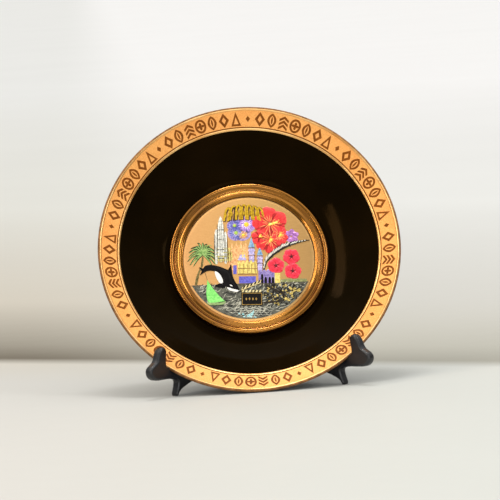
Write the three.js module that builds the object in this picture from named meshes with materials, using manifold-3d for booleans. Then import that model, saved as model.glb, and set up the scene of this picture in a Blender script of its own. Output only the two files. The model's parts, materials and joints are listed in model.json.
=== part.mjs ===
// A glazed porcelain souvenir plate with a metal medallion, standing on a folding plastic easel.
// Millimetres, +Z up, the plate faces -Y. The table top is z = 0.
import * as THREE from "three";
import { mergeVertices } from "three/addons/utils/BufferGeometryUtils.js";
import Module from "manifold-3d";

const wasm = await Module();
wasm.setup();

// Driving dimensions.
const PLATE_RADIUS = 101.5;
const PLATE_TILT = THREE.MathUtils.degToRad(25);
const RIM_CLEARANCE = 1.3; // table to the rim plane's lowest point
const DISH_DEPTH = 25.7;
const HINGE_Y = 29.38; // rear hinge axis, behind the origin
const PLATE_BEHIND = -30.1; // centre of the rim plane, measured in Y from the hinge axis
const GAP = 0.3; // free space between two pieces that touch
const MEDAL_RADIUS = 46.8;
const MEDAL_THICKNESS = 1.4;
const ADHESIVE_THICKNESS = 0.8;
const RING_RADIUS = 54.5;
const RING_WINDOW = 44.6; // radius of the medallion that stays visible
const RING_HEIGHT = 5.1;
const LEG_SPLAY = THREE.MathUtils.degToRad(42);
const LEG_THICKNESS = 6;
const LEG_ROUNDING = 1.2;
const SEAT_CLEARANCE = 0.4; // between the plate and the seats cut in the legs
const KNUCKLE_RADIUS = 4.2;
const PIN_RADIUS = 1.7;
const PIN_CLEARANCE = 0.1; // radial play of the leg knuckles on the pin

const group = new THREE.Group();
group.name = "souvenir_plate";

function material(colour, roughness, metalness) {
  return new THREE.MeshStandardMaterial({ color: colour, roughness, metalness });
}

function addPiece(name, geometry, look) {
  const mesh = new THREE.Mesh(geometry, look);
  mesh.name = name;
  group.add(mesh);
}

// Booleans.
function solidOf(geometry) {
  const bare = geometry.clone();
  bare.deleteAttribute("normal");
  bare.deleteAttribute("uv");
  const merged = mergeVertices(bare, 1e-4);
  const mesh = new wasm.Mesh({
    numProp: 3,
    vertProperties: new Float32Array(merged.attributes.position.array),
    triVerts: new Uint32Array(merged.index.array),
  });
  return new wasm.Manifold(mesh);
}

function geometryOf(solid) {
  const mesh = solid.getMesh();
  const geometry = new THREE.BufferGeometry();
  geometry.setAttribute("position", new THREE.BufferAttribute(mesh.vertProperties, 3));
  geometry.setIndex(new THREE.BufferAttribute(mesh.triVerts, 1));
  const flat = geometry.toNonIndexed();
  flat.computeVertexNormals();
  return flat;
}

// A solid of revolution about +Z from [radius, height] pairs that start and end on the axis or close.
function turned(profile, segments) {
  const points = profile.map(([radius, height]) => new THREE.Vector2(radius, height));
  const geometry = new THREE.LatheGeometry(points, segments);
  geometry.rotateX(Math.PI / 2);
  return geometry;
}

// Everything on the plate is drawn about its own axis, with the rim plane at 0 and the front at +.
function toPlatePose(geometry) {
  const height = RIM_CLEARANCE + PLATE_RADIUS * Math.cos(PLATE_TILT);
  geometry.rotateX(Math.PI / 2 - PLATE_TILT);
  geometry.translate(0, HINGE_Y + PLATE_BEHIND, height);
  return geometry;
}

// Profiles are radius and height above the rim plane.
const PLATE_BACK = [
  [0, -29.2],
  [38, -29.2],
  [39.5, -30.2],
  [40.5, -32.3],
  [41.4, -32.7],
  [45.6, -32.7],
  [47, -32.2],
  [49.5, -30.1],
  [54, -29.1],
  [60, -27.2],
  [66, -24.4],
  [72, -21.1],
  [78, -17.5],
  [84, -13.7],
  [90, -9.6],
  [96, -5.8],
  [100, -3.2],
];
const PLATE_LIP = [
  [101.2, -2.3],
  [PLATE_RADIUS, -1.2],
  [101.2, -0.4],
  [100.4, 0],
  [99.5, -0.3],
  [98.8, -0.9],
];

function plateBody() {
  const front = [
    [87.2, -6.8],
    [86.4, -7.4],
    [80, -12.1],
    [74, -16.3],
    [68, -19.9],
    [62, -23],
    [57.5, -25.1],
    [55.6, -DISH_DEPTH],
    [0, -DISH_DEPTH],
  ];
  return toPlatePose(turned([...PLATE_BACK, ...PLATE_LIP, ...front], 96));
}

// A solid a little larger than the plate, filled level at the front. The legs' seats are cut to it.
function seatClearance() {
  const grown = PLATE_BACK.map(([radius, height]) => {
    return [radius === 0 ? 0 : radius + SEAT_CLEARANCE * 0.7, height - SEAT_CLEARANCE];
  });
  const outer = PLATE_RADIUS + SEAT_CLEARANCE;
  return toPlatePose(turned([...grown, [outer, -2.4], [outer, SEAT_CLEARANCE], [0, SEAT_CLEARANCE]], 120));
}

function adhesiveDisc() {
  const bottom = GAP - DISH_DEPTH;
  const top = bottom + ADHESIVE_THICKNESS;
  const radius = MEDAL_RADIUS - 5;
  return toPlatePose(turned([[0, bottom], [radius, bottom], [radius, top], [0, top]], 48));
}

function medallion() {
  const bottom = 2 * GAP + ADHESIVE_THICKNESS - DISH_DEPTH;
  const top = bottom + MEDAL_THICKNESS;
  const edge = 0.3;
  const profile = [
    [0, bottom],
    [MEDAL_RADIUS, bottom],
    [MEDAL_RADIUS, top - edge],
    [MEDAL_RADIUS - edge, top],
    [0, top],
  ];
  return toPlatePose(turned(profile, 72));
}

function bezelRing() {
  const bottom = GAP - DISH_DEPTH;
  const medalTop = 2 * GAP + ADHESIVE_THICKNESS + MEDAL_THICKNESS - DISH_DEPTH;
  const shelf = medalTop + GAP;
  const crest = bottom + RING_HEIGHT;
  const rebate = MEDAL_RADIUS + GAP;
  const profile = [
    [rebate, bottom],
    [53.7, bottom],
    [RING_RADIUS, bottom + 0.9],
    [RING_RADIUS, bottom + 2.6],
    [53.9, bottom + 4.2],
    [53.1, crest - 0.2],
    [52.1, crest],
    [51.1, crest - 0.3],
    [50.1, crest - 1.2],
    [49.5, crest - 1.3],
    [RING_WINDOW + 0.7, shelf + 0.75],
    [RING_WINDOW, shelf + 0.5],
    [RING_WINDOW, shelf],
    [rebate, shelf],
    [rebate, bottom],
  ];
  return toPlatePose(turned(profile, 72));
}

// Leg side view: x runs forward from the hinge axis, y runs up from the table.
function vectors(pairs) {
  return pairs.map(([forward, up]) => new THREE.Vector2(forward, up));
}

function legOutline() {
  const rearFootAndArch = [
    [13.2, 3.2], [15.8, 6.8], [21, 9.4], [30, 10.6], [44, 10.8], [55, 9.8], [62, 8.4], [69, 6.4],
    [75, 4.4], [78.4, 2.4],
  ];
  const thornAndNoseUnderside = [
    [82.4, 2.6], [80.2, 5], [79, 7.6], [79.6, 9.8], [82.4, 11.4], [88, 12.3], [95, 12.5], [101, 12.9],
  ];
  const nose = [[104.4, 14.2], [106.4, 16.6], [106.8, 19.4], [105.4, 21.8], [102.8, 23.4], [100.6, 24.6]];
  const finger = [
    [99.2, 26.2], [98.2, 28.4], [96.8, 30.8], [94.8, 32.8], [92.8, 33.4], [91.2, 32.4], [90.6, 30.4],
    [90.6, 26], [90.4, 22.6], [89.4, 20.8],
  ];
  const post = [
    [20.2, 46.4], [16.4, 52.8], [12.4, 59.4], [10.8, 61.8], [9.2, 63.2], [7.4, 63.4], [6, 62.2], [5.2, 60.2],
  ];
  const outline = new THREE.Shape();
  outline.moveTo(5.2, 0);
  outline.lineTo(12.4, 0);
  outline.splineThru(vectors(rearFootAndArch));
  outline.lineTo(80, 0);
  outline.lineTo(84, 0);
  for (const run of [thornAndNoseUnderside, nose, finger]) {
    outline.splineThru(vectors(run));
  }
  // A straight edge above the seat, which is cut to the plate's back later.
  outline.lineTo(84, 20.4);
  outline.lineTo(33, 40.4);
  outline.lineTo(23, 44);
  outline.splineThru(vectors(post));
  outline.lineTo(5.2, 0);
  return outline;
}

function legWindow() {
  const hole = new THREE.Path();
  hole.moveTo(14.4, 23);
  hole.splineThru(vectors([[14.2, 29], [14.4, 36.2], [16.2, 38], [19, 36], [26, 30.4], [34, 25.4],
    [43, 21], [44.2, 19.2], [42, 18.1], [32, 17.8], [20, 17.8], [15.6, 19], [14.4, 23]]));
  return hole;
}

function legPlate() {
  const outline = legOutline();
  outline.holes.push(legWindow());
  const geometry = new THREE.ExtrudeGeometry(outline, {
    depth: LEG_THICKNESS - 2 * LEG_ROUNDING,
    curveSegments: 1,
    bevelEnabled: true,
    bevelThickness: LEG_ROUNDING,
    bevelSize: LEG_ROUNDING,
    bevelOffset: -LEG_ROUNDING,
    bevelSegments: 3,
  });
  geometry.translate(0, 0, GAP + LEG_ROUNDING);
  return geometry;
}

// An upright cylinder in the leg's own frame, on the hinge axis.
function onAxis(radius, bottom, top) {
  const geometry = new THREE.CylinderGeometry(radius, radius, top - bottom, 28);
  geometry.translate(0, (bottom + top) / 2, 0);
  return geometry;
}

function legWithKnuckles(spans) {
  let leg = solidOf(legPlate());
  for (const [bottom, top] of spans) {
    const web = new THREE.BoxGeometry(8, top - bottom, KNUCKLE_RADIUS - GAP);
    web.translate(4, (bottom + top) / 2, (KNUCKLE_RADIUS + GAP) / 2);
    leg = leg.add(solidOf(onAxis(KNUCKLE_RADIUS, bottom, top))).add(solidOf(web));
    leg = leg.subtract(solidOf(onAxis(PIN_RADIUS + PIN_CLEARANCE, bottom - 1, top + 1)));
  }
  return geometryOf(leg);
}

// Side is +1 for the leg on +X and -1 for the one on -X.
function toLegPose(geometry, side) {
  if (side > 0) {
    geometry.scale(1, 1, -1);
  }
  const forward = new THREE.Vector3(side * Math.sin(LEG_SPLAY), -Math.cos(LEG_SPLAY), 0);
  const up = new THREE.Vector3(0, 0, 1);
  const across = new THREE.Vector3().crossVectors(forward, up);
  geometry.applyMatrix4(new THREE.Matrix4().makeBasis(forward, up, across));
  geometry.translate(0, HINGE_Y, 0);
  return geometryOf(solidOf(geometry).subtract(solidOf(seatClearance())));
}

const KNUCKLES = { low: [8, 20], middle: [20.4, 43.6], high: [44, 56] };

function mirroredFaces(geometry) {
  const position = geometry.getAttribute("position");
  for (let i = 0; i < position.count; i += 3) {
    const second = new THREE.Vector3().fromBufferAttribute(position, i + 1);
    const third = new THREE.Vector3().fromBufferAttribute(position, i + 2);
    position.setXYZ(i + 1, third.x, third.y, third.z);
    position.setXYZ(i + 2, second.x, second.y, second.z);
  }
  return geometry;
}

function leftLeg() {
  return toLegPose(legWithKnuckles([KNUCKLES.low, KNUCKLES.high]), -1);
}

function rightLeg() {
  return toLegPose(mirroredFaces(legWithKnuckles([KNUCKLES.middle])), 1);
}

function upright(profile, segments) {
  const geometry = turned(profile, segments);
  geometry.translate(0, HINGE_Y, 0);
  return geometry;
}

function hingePin() {
  const headBottom = KNUCKLES.high[1] + GAP;
  const foot = KNUCKLES.low[0] - 2.4;
  const profile = [
    [0, foot],
    [PIN_RADIUS - 0.3, foot],
    [PIN_RADIUS, foot + 0.3],
    [PIN_RADIUS, headBottom],
    [3.6, headBottom],
    [3.6, headBottom + 1.1],
    [2.8, headBottom + 1.9],
    [0, headBottom + 2.2],
  ];
  return upright(profile, 28);
}

function pinCap() {
  const top = KNUCKLES.low[0] - GAP;
  const foot = KNUCKLES.low[0] - 3.8;
  const bore = PIN_RADIUS + GAP;
  const profile = [
    [0, foot],
    [2.8, foot],
    [3.6, foot + 0.8],
    [3.6, top],
    [bore, top],
    [bore, foot + 1],
    [0, foot + 1],
  ];
  return upright(profile, 28);
}

const BLACK_GLAZE = material(0x160e05, 0.08, 0);
const GILT = material(0xc8780a, 0.28, 1);
const ENGRAVED_METAL = material(0xcda56e, 0.4, 1);
const ADHESIVE = material(0xd8d4c8, 0.9, 0);
const BLACK_PLASTIC = material(0x0d0d0e, 0.2, 0);
const STEEL = material(0x9a9a9c, 0.35, 1);

addPiece("plate_body", plateBody(), BLACK_GLAZE);
addPiece("bezel_ring", bezelRing(), GILT);
addPiece("medallion_disc", medallion(), ENGRAVED_METAL);
addPiece("adhesive_disc", adhesiveDisc(), ADHESIVE);
addPiece("stand_leg_left", leftLeg(), BLACK_PLASTIC);
addPiece("stand_leg_right", rightLeg(), BLACK_PLASTIC.clone());
addPiece("hinge_pin", hingePin(), STEEL);
addPiece("pin_cap", pinCap(), BLACK_PLASTIC.clone());

export default group;
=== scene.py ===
"""Looks of the souvenir plate: black glazed porcelain with a gilt border, a ringed engraved medallion, and
a folding easel."""
import json
import math
import random

import bmesh
import bpy
from mathutils import Matrix, Vector
from mathutils.geometry import delaunay_2d_cdt, tessellate_polygon


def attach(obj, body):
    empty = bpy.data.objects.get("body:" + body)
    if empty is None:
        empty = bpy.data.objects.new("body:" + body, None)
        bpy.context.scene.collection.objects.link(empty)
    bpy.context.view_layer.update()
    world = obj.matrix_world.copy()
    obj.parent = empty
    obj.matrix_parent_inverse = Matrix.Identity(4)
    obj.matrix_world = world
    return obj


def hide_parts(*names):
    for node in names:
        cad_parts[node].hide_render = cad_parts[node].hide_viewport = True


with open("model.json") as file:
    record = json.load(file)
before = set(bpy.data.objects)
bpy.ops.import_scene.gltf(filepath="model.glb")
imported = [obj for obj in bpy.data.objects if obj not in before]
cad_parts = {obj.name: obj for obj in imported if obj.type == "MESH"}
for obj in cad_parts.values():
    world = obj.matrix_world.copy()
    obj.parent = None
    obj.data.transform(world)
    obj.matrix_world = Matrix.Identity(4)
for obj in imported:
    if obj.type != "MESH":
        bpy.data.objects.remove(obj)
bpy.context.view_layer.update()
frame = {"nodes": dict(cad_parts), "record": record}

MM = 0.001

# Driving dimensions, in millimetres unless the name says otherwise. They repeat the CAD part's.
PLATE_RADIUS = 101.5
PLATE_TILT = math.radians(25)
RIM_CLEARANCE = 1.3
PLATE_BEHIND = -30.1
DISH_DEPTH = 25.7
MEDAL_TOP = -22.9
MEDAL_RADIUS = 46.8
MEDAL_THICKNESS = 1.4
RING_BOTTOM = -25.4
RING_RADIUS = 54.5
RING_WINDOW = 44.6
RING_HEIGHT = 5.1
LEG_SPLAY = math.radians(42)
LEG_THICKNESS = 6.0
LEG_ROUNDING = 1.8
GAP = 0.3
SEAT_CLEARANCE = 0.4
PIN_BORE = 1.8
KNUCKLE_RADIUS = 4.2
KNUCKLE_EASE = 0.5
WEB_OFFSET = 2.35
KNUCKLES_LEFT = [(8, 20), (44, 56)]
KNUCKLES_RIGHT = [(20.4, 43.6)]
BAND_OUTER = (98.8, -0.9)
BAND_INNER = (88.75, -6.01)
ART_RADIUS = 44.4
ART_TURN = math.radians(-3.5)
FRIEZE_TURN = math.radians(8.7)
FRIEZE_REPEATS = 9
CUT_TOP = 0.05
FLOOR_SHADE_METRES = 4.0
FLOOR_LINE = 0.11 / FLOOR_SHADE_METRES
FLOOR_LINE_TURN = math.radians(33)
FLOOR_LINE_SOFTNESS = 0.003
CAMERA_AROUND = math.radians(-2.43)
CAMERA_ABOVE = math.radians(5)
CAMERA_ROLL = math.radians(-3.64)
CAMERA_METRES = 2.5
CAMERA_LENS = 265.8

# The plate's back outside its foot ring, as radius and height above the rim plane.
BACK_DISH = [(47, -32.2), (49.5, -30.1), (54, -29.1), (60, -27.2), (66, -24.4), (72, -21.1), (78, -17.5),
             (84, -13.7), (90, -9.6), (96, -5.8), (100, -3.2)]

JOINTS = {joint["name"]: joint for joint in frame["record"]["behaviour"]["joints"]}
HINGE_Y = JOINTS["left_leg_fold"]["pos_m"][1]


def plate_pose():
    """The plate's own frame: X across, Y up its face, Z out of it, origin in the middle of the rim plane."""
    sin, cos = math.sin(PLATE_TILT), math.cos(PLATE_TILT)
    centre = Vector((0, HINGE_Y + PLATE_BEHIND * MM, (RIM_CLEARANCE + PLATE_RADIUS * cos) * MM))
    turn = Matrix(((1, 0, 0), (0, sin, -cos), (0, cos, sin))).to_4x4()
    return Matrix.Translation(centre) @ turn


def leg_pose(side):
    """A leg's own frame: X forward from the hinge, Y up, Z through its thickness."""
    forward = Vector((side * math.sin(LEG_SPLAY), -math.cos(LEG_SPLAY), 0))
    up = Vector((0, 0, 1))
    across = forward.cross(up)
    turn = Matrix((forward, up, across)).transposed().to_4x4()
    return Matrix.Translation((0, HINGE_Y, 0)) @ turn


PLATE = plate_pose()


# Colours and materials.
def linear(red, green, blue):
    """A colour given as 0 to 255 display values."""
    values = []
    for value in (red, green, blue):
        value /= 255
        values.append(value / 12.92 if value <= 0.04045 else ((value + 0.055) / 1.055) ** 2.4)
    return (*values, 1.0)


# The floor's tones, each with where it is reached, as a share of FLOOR_SHADE_METRES back from the origin.
# Just past FLOOR_LINE they hold a painted shadow, darker on the left side, which fades to pale further back.
LINE_STARTS = FLOOR_LINE - FLOOR_LINE_SOFTNESS
LINE_ENDS = FLOOR_LINE + FLOOR_LINE_SOFTNESS
LEFT_PAINTED_SHADOW_TONES = [(0.0, linear(192, 191, 186)), (LINE_STARTS, linear(192, 188, 178)),
              (LINE_ENDS, linear(99, 91, 76)), (0.05, linear(140, 134, 121)), (0.12, linear(197, 191, 178)),
              (0.35, linear(228, 228, 221)), (1.0, linear(241, 242, 240))]
RIGHT_PAINTED_SHADE_TONES = [(0.0, linear(193, 195, 190)), (LINE_STARTS, linear(197, 198, 192)),
               (LINE_ENDS, linear(158, 155, 143)), (0.05, linear(175, 173, 162)),
               (0.12, linear(196, 195, 189)), (0.35, linear(235, 236, 233)), (1.0, linear(255, 255, 255))]


class Look:
    """A node material under construction."""

    def __init__(self, name, metallic=0.0, specular=0.5, stretch=(1, 1, 1)):
        self.material = bpy.data.materials.new(name)
        self.material.use_nodes = True
        self.nodes = self.material.node_tree.nodes
        self.links = self.material.node_tree.links
        self.shader = self.nodes["Principled BSDF"]
        self.shader.inputs["Metallic"].default_value = metallic
        self.shader.inputs["Specular IOR Level"].default_value = specular
        self.height = None
        place = self.nodes.new("ShaderNodeTexCoord")
        mapping = self.nodes.new("ShaderNodeMapping")
        mapping.inputs["Scale"].default_value = stretch
        self.links.new(place.outputs["Object"], mapping.inputs["Vector"])
        self.position = mapping.outputs["Vector"]

    def node(self, kind, **values):
        """A new node, with input values given by name, underscores for spaces."""
        node = self.nodes.new("ShaderNode" + kind)
        for name, value in values.items():
            node.inputs[name.replace("_", " ")].default_value = value
        return node

    def noise(self, scale, detail=4, roughness=0.55, distortion=0.0):
        node = self.node("TexNoise", Scale=scale, Detail=detail, Roughness=roughness, Distortion=distortion)
        self.links.new(self.position, node.inputs["Vector"])
        return node.outputs["Fac"]

    def ramp(self, source, stops):
        node = self.node("ValToRGB")
        fill_ramp(node.color_ramp, stops)
        self.links.new(source, node.inputs["Fac"])
        return node.outputs["Color"]

    def tones(self, source, dark, light, low=0.3, high=0.7):
        """Two colours, given as display values, blended by a noise."""
        return self.ramp(source, [(low, linear(*dark)), (high, linear(*light))])

    def mix(self, factor, first, second, blend="MIX"):
        """Two colours mixed by a linked factor, or fully when it is None."""
        node = self.node("Mix")
        node.data_type = "RGBA"
        node.blend_type = blend
        node.inputs["Factor"].default_value = 1.0
        if factor is not None:
            self.links.new(factor, node.inputs["Factor"])
        self.links.new(first, node.inputs[6])
        self.links.new(second, node.inputs[7])
        return node.outputs[2]

    def remap(self, source, smooth=False, **values):
        node = self.node("MapRange", **values)
        if smooth:
            node.interpolation_type = "SMOOTHSTEP"
        self.links.new(source, node.inputs["Value"])
        return node.outputs["Result"]

    def coordinate(self, source, axis):
        """One coordinate of a vector."""
        node = self.node("SeparateXYZ")
        self.links.new(source, node.inputs["Vector"])
        return node.outputs[axis]

    def colour(self, source):
        self.links.new(source, self.shader.inputs["Base Color"])

    def rough(self, source, low, high):
        self.links.new(self.remap(source, To_Min=low, To_Max=high), self.shader.inputs["Roughness"])

    def bump(self, source, strength, distance):
        node = self.node("Bump", Strength=strength, Distance=distance)
        self.links.new(source, node.inputs["Height"])
        if self.height:
            self.links.new(self.height, node.inputs["Normal"])
        self.height = node.outputs["Normal"]
        self.links.new(self.height, self.shader.inputs["Normal"])


def fill_ramp(ramp, stops):
    while len(ramp.elements) < len(stops):
        ramp.elements.new(0.5)
    for element, (where, colour) in zip(ramp.elements, stops):
        element.position = where
        element.color = colour


def plain_look(name, colours, gloss, bumps, metallic=0.0, specular=0.5):
    """Two tones, an uneven gloss and small bumps. Each noise is given first, as its scale and detail."""
    look = Look(name, metallic, specular)
    noise, dark, light = colours
    look.colour(look.tones(look.noise(*noise), dark, light))
    noise, low, high = gloss
    look.rough(look.noise(*noise), low, high)
    for noise, strength, distance in bumps:
        look.bump(look.noise(*noise), strength, distance)
    return look


def glaze_look():
    """Deep black glaze, a little brown where it pools, with a faint orange-peel surface."""
    look = plain_look("black_glaze", ((26, 3), (13, 8, 2), (20, 12, 3)), ((420,), 0.05, 0.13),
                      [((160, 2), 0.05, 0.0004)], specular=0.017)
    look.shader.inputs["Specular Tint"].default_value = (1.0, 0.56, 0.2, 1.0)
    return look.material


def biscuit_look():
    """Unglazed porcelain, where the foot ring was wiped before firing."""
    return plain_look("biscuit_porcelain", ((300,), (196, 184, 162), (226, 218, 200)), ((500,), 0.6, 0.85),
                      [((1800,), 0.3, 0.0001)], specular=0.3).material


def satin_gilt_look():
    """The border's matt gilding: warm gold over fine brushed grain, rubbed lighter in patches."""
    look = Look("satin_gilt_border", metallic=0.3, specular=0.4)
    patches = look.tones(look.noise(38, 5), (232, 152, 72), (246, 178, 96))
    grain = look.tones(look.noise(1500, 3), (206, 126, 50), (248, 182, 102), 0.35, 0.6)
    share = look.ramp(look.noise(600), [(0.35, (0.25, 0.25, 0.25, 1)), (0.65, (0.6, 0.6, 0.6, 1))])
    look.colour(look.mix(share, patches, grain))
    look.rough(look.noise(700), 0.38, 0.58)
    look.bump(look.noise(2400, 3), 0.22, 0.00008)
    return look.material


def shaded_amber_lip_look():
    """Gilding on the rolled lip, painted a dark brown for the shade and dark reflection the roll shows."""
    return plain_look("amber_lip_painted_shade", ((240, 6), (96, 62, 30), (160, 112, 66)), ((700,), 0.4, 0.65),
                      [((1500,), 0.2, 0.0001)], metallic=0.35, specular=0.3).material


def brown_incised_look():
    """Brown enamel rubbed into the border's cut pattern."""
    return plain_look("incised_brown", ((500,), (104, 54, 2), (142, 78, 10)), ((900,), 0.4, 0.65),
                      [((2600,), 0.3, 0.00008)], metallic=0.1, specular=0.15).material


def bright_gilt_look(name, dark, light, low, high, coat=0.0):
    """Polished gold with faint turning marks and soft handling smears."""
    look = Look(name, metallic=1.0)
    look.shader.inputs["Coat Weight"].default_value = coat
    look.shader.inputs["Coat Roughness"].default_value = 0.12
    look.colour(look.tones(look.noise(55), dark, light, 0.25, 0.75))
    look.rough(look.noise(130, 5), low, high)
    look.bump(look.noise(500, 2), 0.008, 0.00005)
    return look.material


def medallion_look():
    """Champagne metal brushed across, with a painted sheen: lighter and warmer towards the left, darker to
    the right.
    """
    look = Look("brushed_champagne_metal", metallic=0.85, stretch=(0.06, 1, 1))
    brush = look.noise(5200, roughness=0.7)
    place = look.node("TexCoord").outputs["Object"]
    edge = ART_RADIUS * MM
    # Painted sheen: the brushed tones shift from light and warm at the left edge to darker at the right.
    side = look.remap(look.coordinate(place, "X"), From_Min=-edge, From_Max=edge)
    deep = [(0.0, linear(206, 146, 84)), (0.5, linear(196, 146, 82)), (1.0, linear(158, 120, 70))]
    pale = [(0.0, linear(232, 182, 122)), (0.5, linear(222, 178, 114)), (1.0, linear(190, 152, 96))]
    look.colour(look.mix(brush, look.ramp(side, deep), look.ramp(side, pale)))
    look.rough(brush, 0.3, 0.46)
    look.bump(brush, 0.25, 0.00006)
    return look.material


def foil_look(name, dark, light, metallic=0.35, scale=700, specular=0.5):
    """Coloured lacquer over engraved foil: the colour breaks up along fine cuts that glint."""
    look = Look("foil_" + name, metallic, specular)
    cuts = look.noise(scale, 5, 0.65, 0.6)
    look.colour(look.tones(cuts, dark, light, 0.34, 0.62))
    look.rough(look.noise(scale * 1.7), 0.22, 0.42)
    look.bump(cuts, 0.35, 0.00012)
    return look.material


def plastic_look():
    """Gloss black moulded plastic with shallow flow marks and fine scuffs."""
    return plain_look("black_plastic", ((90,), (13, 13, 15), (27, 28, 32)), ((260, 6), 0.24, 0.4),
                      [((120, 3), 0.12, 0.0004), ((2200, 2), 0.06, 0.0001)]).material


def steel_look():
    """Drawn steel, with fine lines along the pin."""
    look = Look("drawn_steel", metallic=1.0, stretch=(1, 1, 0.04))
    lines = look.noise(4000, 3)
    look.colour(look.tones(lines, (120, 120, 124), (190, 190, 194)))
    look.rough(lines, 0.25, 0.5)
    look.bump(lines, 0.2, 0.00005)
    return look.material


def adhesive_look():
    """Set rubber adhesive with trapped air marks."""
    return plain_look("set_adhesive", ((260,), (190, 184, 168), (222, 216, 202)), ((400,), 0.5, 0.8),
                      [((700,), 0.4, 0.0002)], specular=0.3).material


def floor_look():
    """A pale table top with a soft shade painted behind the stand, deeper on the left, that lightens with
    distance.
    """
    look = Look("pale_floor", specular=0.3)
    place = look.node("TexCoord").outputs["Object"]
    turned = look.node("Mapping", Rotation=(0, 0, FLOOR_LINE_TURN))
    look.links.new(place, turned.inputs["Vector"])
    away = look.remap(look.coordinate(turned.outputs["Vector"], "Y"), From_Max=FLOOR_SHADE_METRES)
    # Painted shadow: the left tones hold a deeper painted shade past the line than the right, mixed in across
    # X.
    painted_shadow_side = look.remap(look.coordinate(place, "X"), smooth=True, From_Min=-0.17, From_Max=0.06)
    painted_shade_tone = look.mix(painted_shadow_side, look.ramp(away, LEFT_PAINTED_SHADOW_TONES), look.ramp(away, RIGHT_PAINTED_SHADE_TONES))
    speck = look.tones(look.noise(3, 3), (253, 253, 253), (255, 255, 255))
    look.colour(look.mix(None, painted_shade_tone, speck, "MULTIPLY"))
    look.rough(look.noise(40), 0.5, 0.62)
    return look.material


# Curves.
def smooth(points, steps=6, closed=False):
    """Points on a smooth curve through the given ones."""
    count = len(points)
    spans = count if closed else count - 1
    out = []
    for i in range(spans):
        if closed:
            four = [points[(i + k) % count] for k in (-1, 0, 1, 2)]
        else:
            four = [points[min(max(i + k, 0), count - 1)] for k in (-1, 0, 1, 2)]
        a, b, c, d = (Vector(p) for p in four)
        for k in range(steps):
            t = k / steps
            bend = (2 * a - 5 * b + 4 * c - d) * t * t + (3 * b - a - 3 * c + d) * t ** 3
            out.append(0.5 * (2 * b + (c - a) * t + bend))
    if not closed:
        out.append(Vector(points[-1]))
    return [tuple(p) for p in out]


# Objects.
def linked(name, data):
    """A new object in the scene."""
    made = bpy.data.objects.new(name, data)
    bpy.context.scene.collection.objects.link(made)
    return made


def finished(shape, name):
    """The mesh of a bmesh that is complete."""
    mesh = bpy.data.meshes.new(name)
    shape.to_mesh(mesh)
    shape.free()
    return mesh


def add_object(name, mesh, materials, matrix, body, sharp=35):
    for material in materials:
        mesh.materials.append(material)
    mesh.shade_smooth()
    mesh.set_sharp_from_angle(angle=math.radians(sharp))
    mesh.transform(matrix)
    piece = linked(name, mesh)
    bpy.context.view_layer.update()
    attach(piece, body)
    return piece


def lathe_mesh(name, runs, segments):
    """A solid of revolution about Z. Each run is a material index and its (radius, height) points, and
    starts where the last one ends."""
    points, kinds = [], []
    for kind, run in runs:
        for point in run if not points else run[1:]:
            points.append(point)
            kinds.append(kind)
    mesh = bmesh.new()
    rings = []
    for radius, height in points:
        if radius < 1e-6:
            rings.append([mesh.verts.new((0, 0, height * MM))])
            continue
        ring = []
        for i in range(segments):
            angle = math.tau * i / segments
            x, y = radius * MM * math.cos(angle), radius * MM * math.sin(angle)
            ring.append(mesh.verts.new((x, y, height * MM)))
        rings.append(ring)
    pairs = [(k, k + 1) for k in range(len(rings) - 1)]
    if len(rings[0]) > 1:
        pairs.append((len(rings) - 1, 0))
        kinds.append(kinds[-1])
    for low, high in pairs:
        for i in range(segments):
            j = (i + 1) % segments
            a, b = rings[low], rings[high]
            corners = [a[i % len(a)], a[j % len(a)], b[j % len(b)], b[i % len(b)]]
            face = mesh.faces.new([v for k, v in enumerate(corners) if v not in corners[:k]])
            face.material_index = kinds[high] if high else kinds[-1]
    bmesh.ops.recalc_face_normals(mesh, faces=mesh.faces)
    return finished(mesh, name)


class Relief:
    """Closed shapes a little proud of a surface. place(x, y, z) turns drawn coordinates into metres."""

    def __init__(self, place):
        self.mesh = bmesh.new()
        self.place = place

    def loop(self, outline, height):
        return [self.mesh.verts.new(self.place(x, y, height)) for x, y in outline]

    def wall(self, low, high):
        for i in range(len(low)):
            j = (i + 1) % len(low)
            self.mesh.faces.new((low[i], low[j], high[j], high[i]))

    def prism(self, outline, top, bottom=-0.08, holes=()):
        """A flat-topped shape, with the given holes through it."""
        loops = [outline, *holes]
        lows = [self.loop(points, bottom) for points in loops]
        highs = [self.loop(points, top) for points in loops]
        triangles = tessellate_polygon([[Vector((x, y, 0)) for x, y in points] for points in loops])
        for level in (lows, highs):
            flat = [v for ring in level for v in ring]
            for a, b, c in triangles:
                self.mesh.faces.new((flat[a], flat[b], flat[c]))
        for low, high in zip(lows, highs):
            self.wall(low, high)

    def dome(self, outline, top, bottom=-0.08, centre=None):
        """A cushioned shape, highest in its middle."""
        if centre is None:
            centre = [sum(p[axis] for p in outline) / len(outline) for axis in (0, 1)]
        lowest = self.loop(outline, bottom)
        rings = [lowest]
        for share, rise in ((1.0, 0.35), (0.8, 0.8), (0.45, 0.97)):
            scaled = [[c + (v - c) * share for c, v in zip(centre, point)] for point in outline]
            rings.append(self.loop(scaled, bottom + (top - bottom) * rise))
        for low, high in zip(rings, rings[1:]):
            self.wall(low, high)
        for ring, height in ((rings[-1], top), (lowest, bottom)):
            tip = self.mesh.verts.new(self.place(*centre, height))
            for i in range(len(ring)):
                self.mesh.faces.new((ring[i], ring[(i + 1) % len(ring)], tip))

    def finish(self, name, materials, body="plate"):
        bmesh.ops.recalc_face_normals(self.mesh, faces=self.mesh.faces)
        return add_object(name, finished(self.mesh, name), materials, PLATE, body)


# Outlines, as lists of (x, y).
def ellipse(x, y, across, up=None, turn=0.0, steps=24):
    up = across if up is None else up
    cos, sin = math.cos(turn), math.sin(turn)
    points = []
    for i in range(steps):
        angle = math.tau * i / steps
        a, b = across * math.cos(angle), up * math.sin(angle)
        points.append((x + a * cos - b * sin, y + a * sin + b * cos))
    return points


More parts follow.
